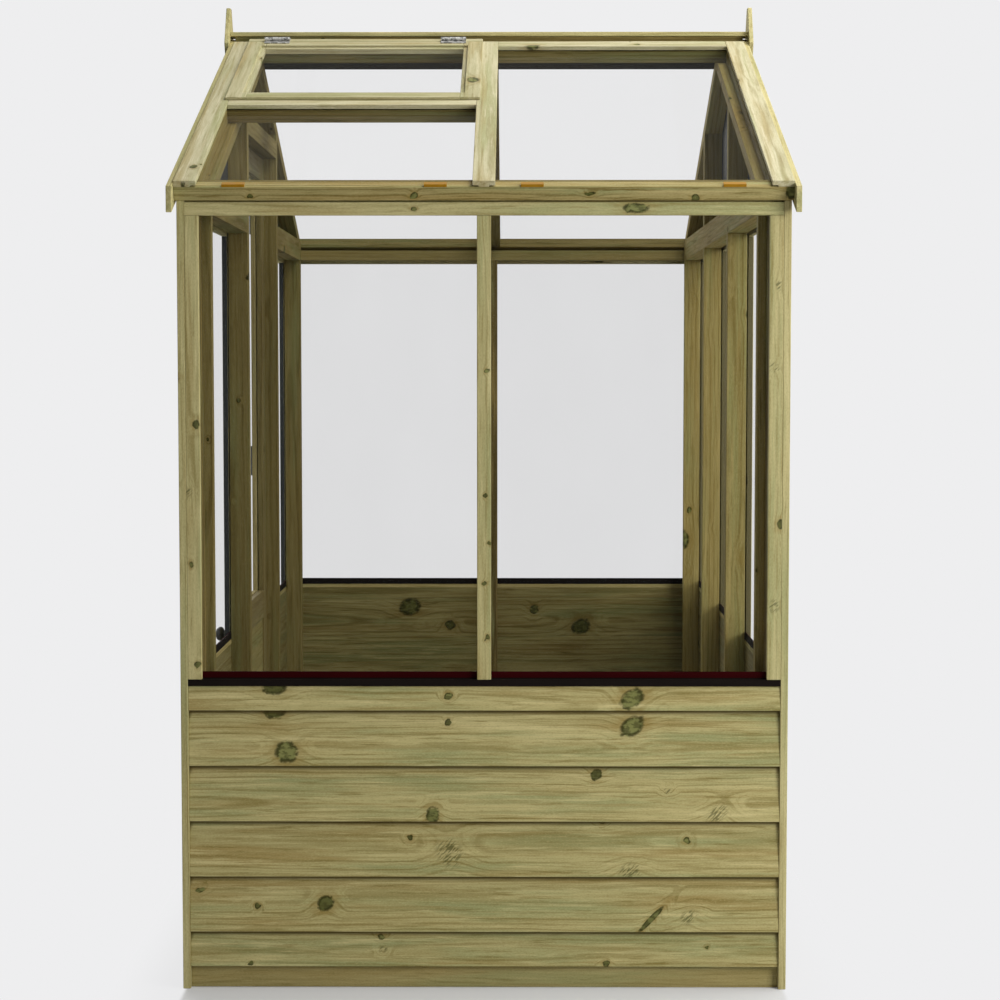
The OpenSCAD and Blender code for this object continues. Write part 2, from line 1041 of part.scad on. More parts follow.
module vent_pane() {
  edge = glass_lap - fit;
  color(glass)
    on_slope()
      slope_block(vent_x0 + sash_w - edge, vent_x1 - sash_w + edge,
        vent_s0 + timber_w - edge, vent_s1 - sash_w + edge,
        vent_glass_z, vent_glass_z + glass_t);
}

// Lays a hinge on the slope with its pin along X
module on_vent_hinges() {
  on_slope()
    for (x = vent_hinge_x)
      translate([x, -vent_pin_s, vent_top + pin_off])
        rotate([0, 90, 0])
          children();
}

module vent_hinge_fixed() {
  color(zinc)
    on_vent_hinges()
      hinge_fixed(vent_hinge_len, vent_leaf_w);
}

module vent_hinge_moving() {
  color(zinc)
    on_vent_hinges()
      hinge_moving(vent_hinge_len, vent_leaf_w);
}

// The door in the left gable

module door_frame() {
  color(wood)
    difference() {
      union() {
        for (y = [-door_y, door_y - stile_w])
          block([-half_w, y, door_z0], [-door_x, y + stile_w, door_z1]);
        for (z = [[door_z0, panel_z0], [panel_z1, mid_rail_z], [door_z1 - rail_w, door_z1]])
          block([-half_w, stile_w + fit - door_y, z[0]], [-door_x, door_y - stile_w - fit, z[1]]);
      }
      block([-gable_out - glass_t, stile_w - door_y - door_groove, mid_rail_z - door_groove],
        [-gable_out, door_y - stile_w + door_groove, door_z1 - rail_w + door_groove]);
    }
}

module door_pane() {
  edge = door_groove - fit;
  color(glass)
    block([-gable_out - glass_t, stile_w - door_y - edge, mid_rail_z - edge],
      [-gable_out, door_y - stile_w + edge, door_z1 - rail_w + edge]);
}

// Three lapped boards close the door below its middle rail
module door_boards() {
  rows = round((panel_z1 - panel_z0) / board_step);
  step = (panel_z1 - panel_z0) / rows;
  wide = door_y - stile_w;
  color(wood)
    to_door_end()
      translate([0, -panel_x, 0])
        for (i = [0:rows - 1]) {
          low = panel_z0 + i * step;
          high = low + step - fit;
          slab_x(-wide, wide)
            polygon([[0, low], [-panel_thick, low], [-panel_thick / 2, high], [0, high]]);
        }
}

// Puts a hinge on the outer face of the door at each hinge height
module on_door_hinges() {
  for (i = [0:door_hinges - 1]) {
    z = door_hinges == 2 ? door_hinge_z[2 * i] : door_hinge_z[i];
    translate([-half_w - pin_off, pin_y, z])
      children();
  }
}

module door_hinge_fixed() {
  color(black)
    on_door_hinges()
      hinge_fixed(door_hinge_len, door_leaf_w);
}

module door_hinge_moving() {
  color(black)
    on_door_hinges()
      hinge_moving(door_hinge_len, door_leaf_w);
}

// A turned knob near the free edge of the door
module door_knob() {
  neck_r = knob_d / 4;
  rose_r = knob_d * 0.42;
  bulb_r = knob_out / 3;
  color(black)
    translate([-half_w, knob_y, knob_z])
      rotate([0, -90, 0])
        union() {
          cylinder(h = rose_t, r = rose_r);
          cylinder(h = knob_out - bulb_r, r = neck_r);
          translate([0, 0, knob_out - bulb_r])
            rotate_extrude()
              intersection() {
                union() {
                  translate([knob_d / 2 - bulb_r, 0])
                    circle(r = bulb_r);
                  translate([0, -bulb_r])
                    square([knob_d / 2 - bulb_r, 2 * bulb_r]);
                }
                translate([0, -bulb_r])
                  square([knob_d, 2 * bulb_r]);
              }
        }
}

// A button that turns on a screw in the jamb strip and laps over the door
module door_turn_button() {
  half_len = button_len / 2;
  half_wide = button_w / 2;
  color(black)
    translate([-half_w - turn_gap, button_y, button_z])
      rotate([0, -90, 0])
        union() {
          block([half_wide - half_len, -half_wide, 0], [half_len - half_wide, half_wide, button_t]);
          for (end = [half_wide - half_len, half_len - half_wide])
            translate([end, 0, 0])
              cylinder(h = button_t, r = half_wide);
          cylinder(h = button_t + 2, r = 2 * button_pin_r);
          translate([0, 0, -button_shank])
            cylinder(h = button_shank, r = button_pin_r);
        }
}

front_bottom_rail();
front_posts();
front_sill_rail();
front_top_plate();
front_cladding();
front_flashing();
front_covers();
front_panes();
back_bottom_rail();
back_posts();
back_sill_rail();
back_top_plate();
back_cladding();
back_flashing();
back_covers();
back_panes();
door_gable_posts();
door_gable_rails();
door_header();
door_gable_chords();
door_gable_cladding();
door_gable_covers();
door_gable_panes();
door_gable_infill();
door_gable_apex_boards();
end_gable_posts();
end_gable_rails();
end_gable_chords();
end_gable_cladding();
end_gable_covers();
end_gable_panes();
end_gable_infill();
end_gable_apex_boards();
gable_flashings();
corner_strips();
front_roof_rails();
front_roof_rafters();
front_roof_covers();
front_roof_panes();
back_roof_rails();
back_roof_rafters();
back_roof_covers();
back_roof_panes();
glass_stops();
ridge_board();
ridge_cap();
bargeboards();
finials();
vent_hinge_strip();
vent_sash();
vent_pane();
vent_hinge_fixed();
vent_hinge_moving();
door_frame();
door_boards();
door_pane();
door_hinge_fixed();
door_hinge_moving();
door_knob();
door_turn_button();
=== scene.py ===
import json
import math
import random

import bmesh
import bpy
from bpy.props import FloatProperty, FloatVectorProperty, IntProperty, PointerProperty
from mathutils import Euler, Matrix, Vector


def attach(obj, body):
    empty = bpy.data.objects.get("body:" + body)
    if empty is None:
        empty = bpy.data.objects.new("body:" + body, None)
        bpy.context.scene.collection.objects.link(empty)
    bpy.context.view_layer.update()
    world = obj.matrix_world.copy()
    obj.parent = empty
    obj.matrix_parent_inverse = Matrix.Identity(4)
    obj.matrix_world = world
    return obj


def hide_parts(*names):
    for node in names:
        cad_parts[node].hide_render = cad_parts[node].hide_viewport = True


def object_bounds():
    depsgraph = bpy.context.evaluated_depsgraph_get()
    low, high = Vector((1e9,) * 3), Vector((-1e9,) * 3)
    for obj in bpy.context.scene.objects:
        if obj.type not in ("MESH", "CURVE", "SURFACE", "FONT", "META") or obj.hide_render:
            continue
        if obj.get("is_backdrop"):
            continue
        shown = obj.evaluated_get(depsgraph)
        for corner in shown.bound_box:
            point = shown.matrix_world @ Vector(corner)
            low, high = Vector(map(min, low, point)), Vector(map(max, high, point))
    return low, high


bl_info = {
    "name": "Wooden greenhouse",
    "version": (1, 0, 0),
    "blender": (4, 5, 0),
    "location": "View3D > Sidebar > Greenhouse",
    "description": "Dresses a timber greenhouse in wood, glass and metal",
    "category": "Object",
}

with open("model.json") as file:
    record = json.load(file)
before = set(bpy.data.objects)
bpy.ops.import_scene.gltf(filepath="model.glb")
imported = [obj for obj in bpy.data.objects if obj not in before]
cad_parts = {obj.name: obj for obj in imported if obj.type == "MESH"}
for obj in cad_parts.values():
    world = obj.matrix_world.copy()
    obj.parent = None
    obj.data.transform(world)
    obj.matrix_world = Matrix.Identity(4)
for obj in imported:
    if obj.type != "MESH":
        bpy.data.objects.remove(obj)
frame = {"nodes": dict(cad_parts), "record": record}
CAD_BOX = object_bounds()

ROOF_PITCH = math.radians(23.4)

# Corners closer than this are one, faces flatter than this are one, and edges sharper
# than this are eased
WELD = 1e-5
FLAT = math.radians(0.5)
CREASE = math.radians(25)

# A distance from a knot, in knot radii, at which nothing of it is left
FAR = 50

# Knots in the front boards and in the far ones, and swirls, where a knot lies just
# under the face: how far along the wall and how high, half their length and width,
# their lean, and the board they are in, counted from the ground. Those in the front
# covers and the eave rail name no board.
FRONT_KNOTS = (
    (-0.422, 0.619, 0.0238, 0.0178, 0.0, 5),
    (-0.422, 0.568, 0.0218, 0.0158, 0.0, 4),
    (-0.398, 0.484, 0.0218, 0.0198, -0.5, 4),
    (-0.072, 0.597, 0.0079, 0.0059, 0.0, 5),
    (-0.072, 0.544, 0.0059, 0.0059, 0.0, 4),
    (-0.150, 0.309, 0.0063, 0.0051, 0.0, 2),
    (-0.104, 0.356, 0.0119, 0.0158, 0.0, 3),
    (-0.321, 0.175, 0.0168, 0.0139, 0.6, 1),
    (-0.459, 0.170, 0.0059, 0.0059, 0.0, 1),
    (-0.575, 0.201, 0.0099, 0.0049, 0.3, 1),
    (-0.471, 0.053, 0.0059, 0.0040, 0.4, 0),
    (-0.208, 0.106, 0.0079, 0.0049, 0.0, 0),
    (0.297, 0.592, 0.0248, 0.0168, 0.6, 5),
    (0.298, 0.536, 0.0248, 0.0168, 0.6, 4),
    (0.226, 0.438, 0.0109, 0.0099, 0.0, 3),
    (0.409, 0.303, 0.0071, 0.0063, 0.0, 2),
    (0.237, 0.342, 0.0069, 0.0059, 0.0, 2),
    (0.338, 0.144, 0.0337, 0.0051, 0.8, 1),
    (0.450, 0.084, 0.0040, 0.0030, 0.0, 0),
    (0.246, 0.051, 0.0069, 0.0059, 0.0, 0),
)
FRONT_SWIRLS = (
    (-0.070, 0.279, 0.0277, 0.0238, -1.0, 2),
    (0.469, 0.359, 0.0238, 0.0139, 0.7, 3),
    (0.295, 0.243, 0.0198, 0.0139, 0.0, 2),
    (0.414, 0.148, 0.0178, 0.0119, 0.6, 1),
    (0.370, 0.406, 0.0079, 0.0059, 0.0, 3),
    (-0.206, 0.079, 0.0079, 0.0059, 0.0, 0),
)
FAR_KNOTS = (
    (-0.241, 0.562, 0.0290, 0.0232, 0.3, 4),
    (-0.124, 0.509, 0.0145, 0.0116, 0.0, 4),
    (0.121, 0.554, 0.0116, 0.0116, 0.0, 4),
    (0.258, 0.504, 0.0261, 0.0203, 0.4, 4),
    (0.421, 0.422, 0.0319, 0.0232, -0.4, 4),
    (-0.489, 0.450, 0.0145, 0.0116, 0.0, 4),
)
COVER_KNOTS = (
    (-0.574, 1.143, 0.0067, 0.0089, 0.0, None),
    (-0.576, 0.661, 0.0059, 0.0059, 0.0, None),
    (-0.586, 0.863, 0.0044, 0.0059, 0.0, None),
    (0.006, 1.250, 0.0040, 0.0049, 0.0, None),
    (0.002, 1.001, 0.0040, 0.0040, 0.0, None),
    (0.010, 0.905, 0.0048, 0.0040, 0.0, None),
    (0.000, 0.825, 0.0040, 0.0040, 0.0, None),
    (0.006, 0.716, 0.0044, 0.0051, 0.0, None),
    (0.593, 0.945, 0.0069, 0.0109, -0.3, None),
    (0.301, 1.572, 0.0238, 0.0089, 0.0, None),
    (-0.139, 1.570, 0.0059, 0.0040, 0.0, None),
)
COVER_SWIRLS = (
    (0.585, 1.419, 0.0079, 0.0119, 0.3, None),
    (0.577, 1.256, 0.0109, 0.0079, 0.0, None),
    (0.581, 0.780, 0.0089, 0.0119, 0.0, None),
    (-0.592, 1.010, 0.0069, 0.0099, 0.0, None),
)
EAVE_KNOTS = (
    (-0.138, 1.596, 0.0063, 0.0051, 0.0, None),
    (0.418, 1.591, 0.0079, 0.0063, 0.0, None),
    (-0.462, 1.595, 0.0059, 0.0040, 0.0, None),
    (0.209, 1.600, 0.0099, 0.0032, 0.0, None),
    (0.610, 1.604, 0.0139, 0.0119, 0.0, None),
)

# Noises drawn out along the grain: length and width of their marks, detail, roughness
GRAIN = {
    "bend": (0.80, 0.17, 2, 0.5),
    "sway": (0.16, 0.045, 3, 0.5),
    "patch": (0.62, 0.050, 3, 0.6),
    "band": (0.45, 0.017, 4, 0.62),
    "streak": (0.11, 0.0062, 4, 0.62),
    "fibre": (0.030, 0.0024, 3, 0.7),
    "pore": (0.0045, 0.0018, 2, 0.5),
    "crack": (0.014, 0.009, 2, 0.55),
    "luck": (0.30, 0.30, 1, 0.5),
}

# Marks in the figure: their noise, the levels at which they start and are full, how
# much they cover, and their tone
BROAD_MARKS = (
    ("patch", 0.47, 0.66, 0.60, "green"),
    ("patch", 0.48, 0.31, 0.58, "brown"),
    ("band", 0.53, 0.70, 0.40, "brown"),
    ("band", 0.46, 0.28, 0.62, "pale"),
)
STREAKS = (
    ("streak", 0.53, 0.74, 0.55, "dark"),
    ("streak", 0.46, 0.26, 0.42, "pale"),
)
FIBRES = (
    ("fibre", 0.52, 0.76, 0.34, "dark"),
    ("pore", 0.50, 0.72, 0.25, "dark"),
    ("pore", 0.48, 0.28, 0.20, "pale"),
)

# Levels of the figure
RINGS = 620  # year rings, in radians to the metre
KNOT_CHANCE = 0.5  # share of the places of the scatter that hold a knot
ROOM_SHADE = (1.02, 0.99, 0.84)  # painted shade, and its tint, on the timber that faces the room


def tint(red, green, blue):
    """A screen colour from 0 to 255, as the linear values that shaders take."""

    def linear(level):
        share = level / 255
        return share / 12.92 if share <= 0.04045 else ((share + 0.055) / 1.055) ** 2.4

    return linear(red), linear(green), linear(blue)


# Sizes and colours that a user would change


class TimberSettings(bpy.types.PropertyGroup):
    """Colours and figure of the pressure-treated timber."""

    board: FloatVectorProperty(
        name="Boards", description="Colour of the lapped boards", subtype="COLOR",
        size=3, min=0, max=1, default=tint(182, 171, 117))
    cover: FloatVectorProperty(
        name="Covers", description="Colour of the planed covers and strips", subtype="COLOR",
        size=3, min=0, max=1, default=tint(188, 178, 126))
    inner: FloatVectorProperty(
        name="Framing", description="Colour of the framing timber inside", subtype="COLOR",
        size=3, min=0, max=1, default=tint(166, 152, 100))
    # The roof covers are paler and less yellow than the wall covers: partly bleached timber, and
    # partly painted sheen of the light on the slopes
    slope: FloatVectorProperty(
        name="Roof covers", description="Colour of the bleached covers on the roof",
        subtype="COLOR", size=3, min=0, max=1, default=tint(192, 185, 149))
    green: FloatVectorProperty(
        name="Green tinge", description="Colour where the treatment took strongest",
        subtype="COLOR", size=3, min=0, max=1, default=tint(152, 154, 104))
    brown: FloatVectorProperty(
        name="Brown tinge", description="Colour of the bands of older wood",
        subtype="COLOR", size=3, min=0, max=1, default=tint(158, 138, 84))
    knot: FloatVectorProperty(
        name="Knots", description="Colour of the middle of a knot", subtype="COLOR",
        size=3, min=0, max=1, default=tint(48, 52, 24))
    arris: FloatProperty(
        name="Arris", description="Width of the eased corners of the timber",
        unit="LENGTH", subtype="DISTANCE", default=0.0012, min=0.0004, max=0.003)
    seed: IntProperty(
        name="Seed", description="Picks another figure for every timber", default=7)


class GlassSettings(bpy.types.PropertyGroup):
    """Colour and clearness of the panes."""

    colour: FloatVectorProperty(
        name="Glass", description="Colour of the film on the glass", subtype="COLOR",
        size=3, min=0, max=1, default=tint(40, 46, 44))
    wall_veil: FloatProperty(
        name="Wall veil", description="How much each face of a wall pane hides",
        subtype="FACTOR", default=0.045, min=0, max=1)
    roof_veil: FloatProperty(
        name="Roof veil", description="How much each face of a roof pane hides",
        subtype="FACTOR", default=0.013, min=0, max=1)
    shine: FloatProperty(
        name="Shine", description="Strength of the mirror image in the glass",
        subtype="FACTOR", default=0.02, min=0, max=1)


class StudioSettings(bpy.types.PropertyGroup):
    """Camera and light."""

    camera_at: FloatVectorProperty(
        name="Camera", description="Where the camera stands", subtype="TRANSLATION",
        unit="LENGTH", size=3, default=(0.0548, -5.230, 1.2517))
    tilt: FloatProperty(
        name="Tilt", description="How far the camera looks down", subtype="ANGLE",
        default=math.radians(3.487))
    turn: FloatProperty(
        name="Turn", description="How far the camera is turned to the left",
        subtype="ANGLE", default=0.00537)
    lens: FloatProperty(
        name="Lens", description="Focal length on a 36 mm wide sensor, in millimetres",
        default=76.75, min=20, max=200)
    backdrop: FloatVectorProperty(
        name="Backdrop", description="Colour of the backdrop", subtype="COLOR",
        size=3, min=0, max=1, default=tint(238, 238, 239))
    key: FloatProperty(
        name="Key light", description="Power of the large lamp at the front right",
        unit="POWER", default=98, min=0)
    top: FloatProperty(
        name="Top light", description="Power of the wide lamp over the roof",
        unit="POWER", default=150, min=0)
    rear: FloatProperty(
        name="Rear light", description="Power of the lamp that lights the back and the door",
        unit="POWER", default=95, min=0)
    sky: FloatProperty(
        name="Fill", description="Strength of the light from all round", default=0.14, min=0)


class GreenhouseSettings(bpy.types.PropertyGroup):
    """All that a user would change."""

    timber: PointerProperty(type=TimberSettings)
    glass: PointerProperty(type=GlassSettings)
    studio: PointerProperty(type=StudioSettings)


# Finishes


class Signal:
    """One output of a node tree, on which sums and products can be written."""

    def __init__(self, nodes, socket):
        self.nodes = nodes
        self.socket = socket

    def _math(self, operation, first, second):
        return self.nodes.math(operation, first, second)

    def __add__(self, other):
        return self._math("ADD", self, other)

    __radd__ = __add__

    def __sub__(self, other):
        return self._math("SUBTRACT", self, other)

    def __rsub__(self, other):
        return self._math("SUBTRACT", other, self)

    def __mul__(self, other):
        return self._math("MULTIPLY", self, other)

    __rmul__ = __mul__

    def __truediv__(self, other):
        return self._math("DIVIDE", self, other)

    def __rtruediv__(self, other):
        return self._math("DIVIDE", other, self)

    def __pow__(self, other):
        return self._math("POWER", self, other)


class Nodes:
    """A node tree that is built one node at a time."""

    def __init__(self, owner):
        owner.use_nodes = True
        self.tree = owner.node_tree
        self.tree.nodes.clear()

    def add(self, kind, settings=None, inputs=None):
        """A node with its settings, then the values or links of its sockets."""
        node = self.tree.nodes.new(kind)
        for key, value in (settings or {}).items():
            setattr(node, key, value)
        for key, value in (inputs or {}).items():
            if isinstance(value, Signal):
                self.tree.links.new(value.socket, node.inputs[key])
            else:
                node.inputs[key].default_value = value
        return node

    def signal(self, kind, settings=None, inputs=None, output=0):
        return Signal(self, self.add(kind, settings, inputs).outputs[output])

    def rays(self, *kinds):
        """1 for rays of the given kinds, and 0 for others."""
        path = self.add("ShaderNodeLightPath")
        found = [Signal(self, path.outputs[f"Is {kind} Ray"]) for kind in kinds]
        total = found[0]
        for other in found[1:]:
            total = self.most(total, other)
        return total

    def place(self):
        """The point on the object, as three signals."""
        return self.parts(self.signal("ShaderNodeTexCoord", output="Object"))

    def attribute(self, name, output="Fac"):
        return self.signal("ShaderNodeAttribute", {"attribute_name": name}, output=output)

    def parts(self, vector):
        node = self.add("ShaderNodeSeparateXYZ", None, {0: vector})
        return [Signal(self, node.outputs[axis]) for axis in "XYZ"]

    def vector(self, x, y, z):
        return self.signal("ShaderNodeCombineXYZ", None, {0: x, 1: y, 2: z})

    def noise(self, vector, scale=1.0, detail=3.0, rough=0.5, warp=0.0):
        return self.signal("ShaderNodeTexNoise", None, {
            "Vector": vector, "Scale": scale, "Detail": detail,
            "Roughness": rough, "Distortion": warp})

    def math(self, operation, *values):
        return self.signal("ShaderNodeMath", {"operation": operation}, dict(enumerate(values)))

    def sine(self, value):
        return self.math("SINE", value)

    def size(self, value):
        return self.math("ABSOLUTE", value)

    def least(self, first, second):
        return self.math("MINIMUM", first, second)

    def most(self, first, second):
        return self.math("MAXIMUM", first, second)

    def step(self, value, low, high, start=0.0, end=1.0):
        """Goes softly from start to end as the value goes from low to high."""
        return self.signal("ShaderNodeMapRange", {"interpolation_type": "SMOOTHSTEP"}, {
            "Value": value, "From Min": low, "From Max": high,
            "To Min": start, "To Max": end})

    def mix(self, share, first, second, how="MIX"):
        """Two colours mixed."""
        first = first if isinstance(first, Signal) else (*first, 1)
        second = second if isinstance(second, Signal) else (*second, 1)
        return self.signal("ShaderNodeMix", {
            "data_type": "RGBA", "blend_type": how, "clamp_factor": True},
            {0: share, 6: first, 7: second}, 2)

    def dim(self, share, colour, tone):
        """A colour that is multiplied by a tone where the share is 1."""
        return self.mix(share, colour, self.mix(1, colour, tone, "MULTIPLY"))

    def beyond(self, deep_x, deep_y, soft):
        """1 outside the box that reaches so far from the middle in X and in Y."""
        x, y, _ = self.place()
        return self.most(self.step(self.size(x), deep_x, deep_x + soft),
                         self.step(self.size(y), deep_y, deep_y + soft))

    def bump(self, height, strength, distance):
        return self.signal("ShaderNodeBump", None, {
            "Height": height, "Strength": strength, "Distance": distance})

    def surface(self, **inputs):
        """A surface, with its sockets by name."""
        return self.signal("ShaderNodeBsdfPrincipled", None, {
            key.replace("_", " "): (*value, 1) if isinstance(value, tuple) else value
            for key, value in inputs.items()})


class Finish(Nodes):
    """A material."""

    def __init__(self, name):
        self.material = bpy.data.materials.new(name)
        super().__init__(self.material)

    def finish(self, shader):
        self.add("ShaderNodeOutputMaterial", None, {"Surface": shader})
        return self.material

    def close(self, **inputs):
        """The finished material, from one surface."""
        return self.finish(self.surface(**inputs))


def deeper(colour, red, green, blue):
    """A colour times a share of each of its parts, kept within range."""
    return tuple(min(1.0, part * share) for part, share in zip(colour, (red, green, blue)))


class Timber(Finish):
    """Softwood whose figure follows each timber's own length."""

    def __init__(self, name, face):
        super().__init__(name)
        timber = bpy.context.scene.greenhouse.timber
        self.tones = {
            "face": tuple(face),
            "green": tuple(timber.green),
            "brown": tuple(timber.brown),
            "knot": tuple(timber.knot),
            "dark": deeper(face, 0.46, 0.41, 0.25),
            "pale": deeper(face, 1.30, 1.30, 1.42),
        }
        self.along, self.across, self.inward = self.parts(self.attribute("grain", "Vector"))
        self.grain = {mark: self.drawn_out(*shape) for mark, shape in GRAIN.items()}

    def tone(self, name, red, green, blue):
        return deeper(self.tones[name], red, green, blue)

    def drawn_out(self, length, width, detail, rough):
        """Noise drawn out along the grain, with the length and width of its marks."""
        shape = self.vector(self.along / length, self.across / width, self.inward / width)
        return self.noise(shape, detail=detail, rough=rough)

    def marked(self, colour, marks, figure=1.0):
        """A colour with some marks of the figure over it."""
        for mark, start, full, share, tone in marks:
            shown = self.step(self.grain[mark], start, full) * (share * figure)
            colour = self.mix(shown, colour, self.tones[tone])
        return colour

    def scattered_knots(self, start, side, cell, size):
        """Distance from the nearest knot of an even scatter, in knot radii."""
        along, across, inward = self.along + start, self.across + side, self.inward
        drift = self.noise(self.vector(along * 30, across * 30, inward * 30), detail=2) * 0.012
        point = self.vector(along * 0.7 + drift, across + drift, inward * 0.6)
        cells = self.add("ShaderNodeTexVoronoi", None, {"Vector": point, "Scale": 1 / cell})
        reach = Signal(self, cells.outputs["Distance"]) * cell
        chance, luck, _ = self.parts(Signal(self, cells.outputs["Color"]))
        missing = self.step(chance, KNOT_CHANCE, KNOT_CHANCE + 0.01, 0, FAR)
        return reach / (size * (luck * 0.9 + 0.5)) + missing

    def placed_knots(self, knots):
        """Distance from the nearest of some given knots, in knot radii."""
        x, _, z = self.place()
        row = self.attribute("row")
        wave = self.noise(self.vector(x * 70, z * 70, row), detail=3) * 0.013 - 0.0065
        point = self.vector(x + wave, z + wave, row)
        nearest = FAR
        for at_x, at_z, length, width, lean, board in knots:
            # The third axis counts boards: a knot fills its own board, or all of them
            rows = 1000 if board is None else 0.01
            local = self.signal("ShaderNodeMapping", {"vector_type": "TEXTURE"}, {
                "Vector": point, "Location": (at_x, at_z, board or 0),
                "Rotation": (0, 0, lean), "Scale": (length, width, rows)})
            away = self.signal("ShaderNodeVectorMath", {"operation": "LENGTH"},
                               {0: local}, "Value")
            nearest = self.least(nearest, away)
        return nearest

    def rings(self, pull, knot_size):
        """Year rings and the finer lines between them, drawn aside by the knots."""
        heart = (self.across * self.across + self.inward * self.inward) ** 0.5
        bend = self.grain["bend"] * 0.030 + self.grain["sway"] * 0.0045
        rings = (heart + bend + pull * knot_size * 0.75) * RINGS
        late = self.step(self.sine(rings), 0.45, 1.0)
        fine = self.step(self.sine(rings * 2.7 + self.grain["streak"] * 5), 0.35, 1.0)
        return late, fine

    def knotted(self, colour, away, under, rim):
        """A colour with its knots, and faint strokes over those under the face."""
        crack = self.grain["crack"]
        slant = self.vector((self.along + self.across) / 0.026,
                            (self.across - self.along) / 0.0048, 0)
        stroke = self.step(self.noise(slant, detail=2), 0.44, 0.60)
        ghost = self.step(under, 1.5, 0.5)
        halo = self.step(away, 2.4, 1.05) * self.step(self.grain["band"], 0.30, 0.60)
        colour = self.mix(ghost * stroke * 0.66, colour, self.tone("knot", 1.7, 1.6, 1.3))
        colour = self.mix(halo * 0.52, colour, self.tone("brown", 0.80, 0.74, 0.52))
        middle = self.mix(self.step(self.grain["luck"], 0.42, 0.58),
                          self.tone("green", 0.62, 0.64, 0.46), self.tone("knot", 2.6, 2.5, 2.0))
        middle = self.mix(self.step(crack, 0.44, 0.60) * 0.66, middle,
                          self.tone("knot", 0.9, 0.9, 0.7))
        colour = self.mix(self.step(away, 1.10, 0.80) * 0.90, colour, middle)
        return self.mix(rim * 0.80, colour, self.tone("knot", 0.85, 0.75, 0.40))

    def painted_lap_shade(self, laps):
        """Painted shade, 1 just under the lower edges of the boards and 0 a few millimetres below.
        """
        x, y, z = self.place()
        last_x = max(corner.x for corner in corners_of("front_cladding"))
        last_y = max(corner.y for corner in corners_of("end_gable_cladding"))
        end = self.least(self.size(self.size(x) - last_x), self.size(self.size(y) - last_y))
        # Next to the corner strips the painted shade reaches further down, standing for their
        # shadow
        reach = self.step(end, 0.008, 0.0, 0.013, 0.028)
        shade_lines = 0
        for lap in laps:
            below = lap - z
            line = self.step(below / reach, 1.0, 0.04) * self.step(below, -0.0012, -0.0002)
            shade_lines = self.most(shade_lines, line)
        return shade_lines * self.beyond(*room_faces(), 0.001)


def timber_finish(name, face, knot_size, cell=0.12, inside=1.0, gloss=0.2, figure=1.0,
                  placed=(), swirls=(), laps=(), painted_side_shade=(), skin=-0.001, painted_shade_above=()):
    """Planed or sawn softwood.

    The knots are scattered unless they are placed. What faces the room gets painted shade,
    as dark as inside says, up to a skin beyond the framing. Boards get painted shade under
    their laps, the side faces that look to the front or the back get the painted shade
    colours given for them, and what is above a given height gets painted shade.
    """
    wood = Timber(name, face)
    small = wood.scattered_knots(0, 3, cell * 0.7, knot_size * 0.42)
    large = wood.scattered_knots(5, 0, cell * 1.3, knot_size)
    away = wood.placed_knots(placed) if placed else wood.least(small, large)
    under = wood.placed_knots(swirls) if swirls else wood.least(away, FAR)
    rim = (wood.step(away, 1.25, 1.00) * wood.step(away, 0.55, 0.92)
           * wood.step(wood.grain["crack"], 0.30, 0.58))
    pull = wood.step(wood.least(away, under), 3.6, 0.0)
    late, fine = wood.rings(pull, knot_size)
    strength = wood.step(wood.grain["band"], 0.34, 0.64, 0.30, 1.0)
    streak, dark = wood.grain["streak"], wood.tones["dark"]

    colour = wood.mix(wood.attribute("board"), wood.tone("face", 0.90, 0.90, 0.88),
                      wood.tone("face", 1.07, 1.07, 1.09))
    colour = wood.marked(colour, BROAD_MARKS, figure)
    colour = wood.mix(late * strength * (0.40 * figure), colour, dark)
    colour = wood.mix(fine * strength * (0.20 * figure), colour, dark)
    colour = wood.marked(colour, STREAKS, figure)
    colour = wood.marked(colour, FIBRES)
    colour = wood.knotted(colour, away, under, rim)
    # Painted shade on what faces the room, as dark as inside says
    if inside < 1:
        deep_x, deep_y = (deep + (0.001 if laps else skin) for deep in room_faces())
        within = 1 - wood.beyond(deep_x - 0.0005, deep_y - 0.0005, 0.001)
        colour = wood.dim(within, colour, tuple(inside * part for part in ROOM_SHADE))
    # Painted shade on the side faces that look to the front or the back
    if painted_side_shade:
        colour = wood.mix(wood.attribute("side"), colour, wood.mix(streak, *painted_side_shade))
    # Painted shade over what stands above the given height
    if painted_shade_above:
        height, share = painted_shade_above
        above = wood.step(wood.place()[2], height, height + 0.01)
        colour = wood.dim(above, colour, (share, share, share))
    # Painted shade under the lower edge of each board
    if laps:
        colour = wood.mix(wood.painted_lap_shade(laps) * 0.88, colour, deeper(dark, 0.30, 0.26, 0.22))

    relief = (late * 0.30 + streak * 0.7 + wood.grain["fibre"] * 0.35
              + wood.grain["pore"] * 0.10 - rim * 0.8)
    return wood.close(
        Base_Color=colour,
        Roughness=wood.step(streak, 0.2, 0.8, 0.62, 0.8),
        Specular_IOR_Level=gloss,
        Normal=wood.bump(relief, 0.45, 0.0009))


def glass_finish(name, veil):
    """Clear pane with a thin film, and a mirror image that grows with the slant."""
    glass = bpy.context.scene.greenhouse.glass
    pane = Finish(name)
    x, y, z = pane.place()
    ripple = pane.noise(pane.vector(x * 3, y * 3, z * 2), detail=2)
    film = pane.noise(pane.vector(x * 5, y * 5, z * 3), detail=3)
    wave = pane.bump(ripple, 0.05, 0.002)
    clear = pane.surface(
        Base_Color=tuple(glass.colour),
        Roughness=0.3,
        Specular_IOR_Level=0.0,
        Alpha=pane.step(film, 0.2, 0.9, veil * 0.9, veil * 1.1))
    mirror = pane.surface(
        Base_Color=tint(240, 244, 242),
        Metallic=1.0,
        Roughness=0.02,
        Normal=wave)
    slant = pane.signal("ShaderNodeFresnel", None, {"IOR": 1.45})
    both = pane.signal("ShaderNodeMixShader", None, {0: slant * glass.shine, 1: clear, 2: mirror})
    return pane.finish(both)


